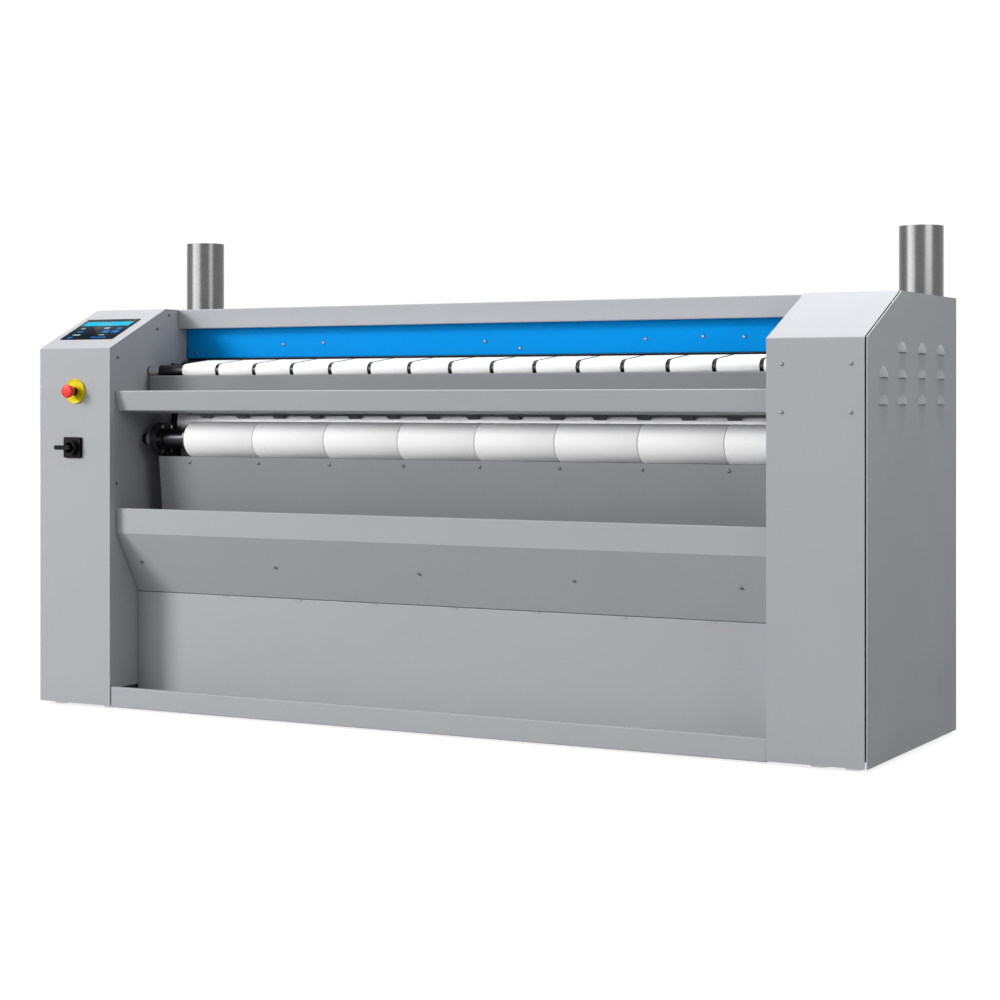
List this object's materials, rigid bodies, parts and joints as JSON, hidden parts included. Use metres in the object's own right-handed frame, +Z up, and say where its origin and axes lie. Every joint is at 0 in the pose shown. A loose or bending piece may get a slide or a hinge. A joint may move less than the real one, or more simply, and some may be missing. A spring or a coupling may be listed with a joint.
{
  "type": "flatwork ironer",
  "caption": "Free-standing heated-roller flatwork ironer with two side columns, ironing bands, feed trough, receiving tray, finger guard and exhaust pipes.",
  "frame": {"origin": "on the floor under the middle of the overall box", "axes": "+X to the right of someone standing in front, -Y towards that person, +Z up"},
  "size_m": [2.3986, 0.742, 1.3],
  "materials": {
    "casing_metal": "satin grey powder coat",
    "frame_paint": "matt",
    "zinc_steel": "zinc plated",
    "polished_steel": "polished",
    "dark_steel": "dark ground steel",
    "black_paint": "black",
    "cast_iron": "painted casting",
    "cast_aluminium": "cast",
    "band_fabric": "white aramid belt",
    "blue_paint": "blue gloss",
    "screen_glass": "black glass",
    "yellow_plastic": "gloss",
    "red_plastic": "gloss",
    "black_plastic": "matt"
  },
  "bodies": {
    "root": {"base_frame": "frame_paint", "levelling_feet": "zinc_steel", "left_side_frame": "frame_paint", "right_side_frame": "frame_paint", "cross_tubes": "frame_paint", "left_front_cover": "casing_metal", "right_front_cover": "casing_metal", "left_outer_panel": "casing_metal", "right_outer_panel": "casing_metal", "left_inner_panel": "casing_metal", "right_inner_panel": "casing_metal", "left_back_panel": "casing_metal", "right_back_panel": "casing_metal", "kick_rail": "casing_metal", "lower_front_panel": "casing_metal", "receiving_tray": "casing_metal", "linen_chute": "casing_metal", "band_guides": "zinc_steel", "feed_trough": "casing_metal", "feed_apron": "casing_metal", "stripper_fingers": "casing_metal", "hood_cover": "casing_metal", "rear_cover": "casing_metal", "cover_screws": "zinc_steel", "heating_elements": "dark_steel", "roller_housing": "black_paint", "roller_arm": "black_paint", "housing_bolts": "zinc_steel", "flange_bearings": "cast_iron", "ironing_bands": "band_fabric", "feed_bands": "band_fabric", "drive_chain": "dark_steel", "gearmotor": "cast_aluminium", "fan_housings": "zinc_steel", "fan_motors": "black_paint", "left_exhaust_pipe": "polished_steel", "right_exhaust_pipe": "polished_steel", "touch_screen": "screen_glass", "estop_collar": "yellow_plastic", "estop_body": "black_plastic", "main_switch": "black_plastic", "control_box": "frame_paint", "control_box_lid": "frame_paint", "cable_gland": "black_plastic"},
    "ironing_cylinder": {"cylinder": "polished_steel", "cylinder_sprocket": "dark_steel"},
    "front_roller_body": {"front_roller": "dark_steel"},
    "entry_roller_body": {"entry_roller": "dark_steel"},
    "rear_bottom_roller_body": {"rear_bottom_roller": "dark_steel"},
    "rear_top_roller_body": {"rear_top_roller": "dark_steel"},
    "front_feed_body": {"front_feed_roller": "dark_steel"},
    "rear_feed_body": {"rear_feed_roller": "dark_steel"},
    "motor_output": {"motor_sprocket": "dark_steel"},
    "left_fan_rotor": {"left_impeller": "zinc_steel"},
    "right_fan_rotor": {"right_impeller": "zinc_steel"},
    "guard": {"finger_guard": "blue_paint", "guard_screws": "zinc_steel"},
    "stop_plunger": {"estop_plunger": "black_plastic"},
    "stop_head": {"estop_head": "red_plastic"},
    "switch_knob": {"main_switch_knob": "black_plastic"}
  },
  "joints": [
    {"name": "cylinder_spin", "type": "hinge", "parent": "root", "child": "ironing_cylinder", "pos_m": [0, 0.054, 0.76], "axis": [1, 0, 0], "continuous": true},
    {"name": "front_roller_spin", "type": "hinge", "parent": "root", "child": "front_roller_body", "pos_m": [0, -0.174, 0.73], "axis": [1, 0, 0], "continuous": true},
    {"name": "entry_roller_spin", "type": "hinge", "parent": "root", "child": "entry_roller_body", "pos_m": [0, 0.084, 0.96542], "axis": [1, 0, 0], "continuous": true},
    {"name": "rear_bottom_spin", "type": "hinge", "parent": "root", "child": "rear_bottom_roller_body", "pos_m": [0, 0.231, 0.505], "axis": [1, 0, 0], "continuous": true},
    {"name": "rear_top_spin", "type": "hinge", "parent": "root", "child": "rear_top_roller_body", "pos_m": [0, 0.259, 0.985], "axis": [1, 0, 0], "continuous": true},
    {"name": "front_feed_spin", "type": "hinge", "parent": "root", "child": "front_feed_body", "pos_m": [0, -0.155, 0.917], "axis": [1, 0, 0], "continuous": true},
    {"name": "rear_feed_spin", "type": "hinge", "parent": "root", "child": "rear_feed_body", "pos_m": [0, -0.051, 0.929], "axis": [1, 0, 0], "continuous": true},
    {"name": "motor_sprocket_spin", "type": "hinge", "parent": "root", "child": "motor_output", "pos_m": [0, 0.019, 0.25], "axis": [1, 0, 0], "continuous": true},
    {"name": "left_fan_spin", "type": "hinge", "parent": "root", "child": "left_fan_rotor", "pos_m": [0, 0.244, 0.88], "axis": [1, 0, 0], "continuous": true},
    {"name": "right_fan_spin", "type": "hinge", "parent": "root", "child": "right_fan_rotor", "pos_m": [0, 0.244, 0.88], "axis": [1, 0, 0], "continuous": true},
    {"name": "guard_swing", "type": "hinge", "parent": "root", "child": "guard", "pos_m": [0, 0.016, 1.058], "axis": [1, 0, 0], "range_deg": [0, 8], "stiffness_Nm_per_rad": 2, "springref_deg": -14.32},
    {"name": "stop_push", "type": "slide", "parent": "root", "child": "stop_plunger", "axis": [0, 1, 0], "range_m": [0, 0.005], "stiffness_N_per_m": 800, "springref_m": -0.005},
    {"name": "stop_twist", "type": "hinge", "parent": "stop_plunger", "child": "stop_head", "pos_m": [-1.066, -0.331, 0.8605], "axis": [0, 1, 0], "range_deg": [0, 30], "stiffness_Nm_per_rad": 0.05, "springref_deg": -11.46},
    {"name": "switch_turn", "type": "hinge", "parent": "root", "child": "switch_knob", "pos_m": [-1.073, -0.331, 0.707], "axis": [0, 1, 0], "range_deg": [0, 90]}
  ],
  "couplings": [
    {"joint": "front_roller_spin", "follows": "cylinder_spin", "ratio": -3.5586},
    {"joint": "entry_roller_spin", "follows": "cylinder_spin", "ratio": -4.183},
    {"joint": "rear_bottom_spin", "follows": "cylinder_spin", "ratio": -5.232},
    {"joint": "rear_top_spin", "follows": "cylinder_spin", "ratio": -5.232},
    {"joint": "front_feed_spin", "follows": "cylinder_spin", "ratio": 8.7302},
    {"joint": "rear_feed_spin", "follows": "cylinder_spin", "ratio": 8.7302},
    {"joint": "motor_sprocket_spin", "follows": "cylinder_spin", "ratio": 4}
  ]
}
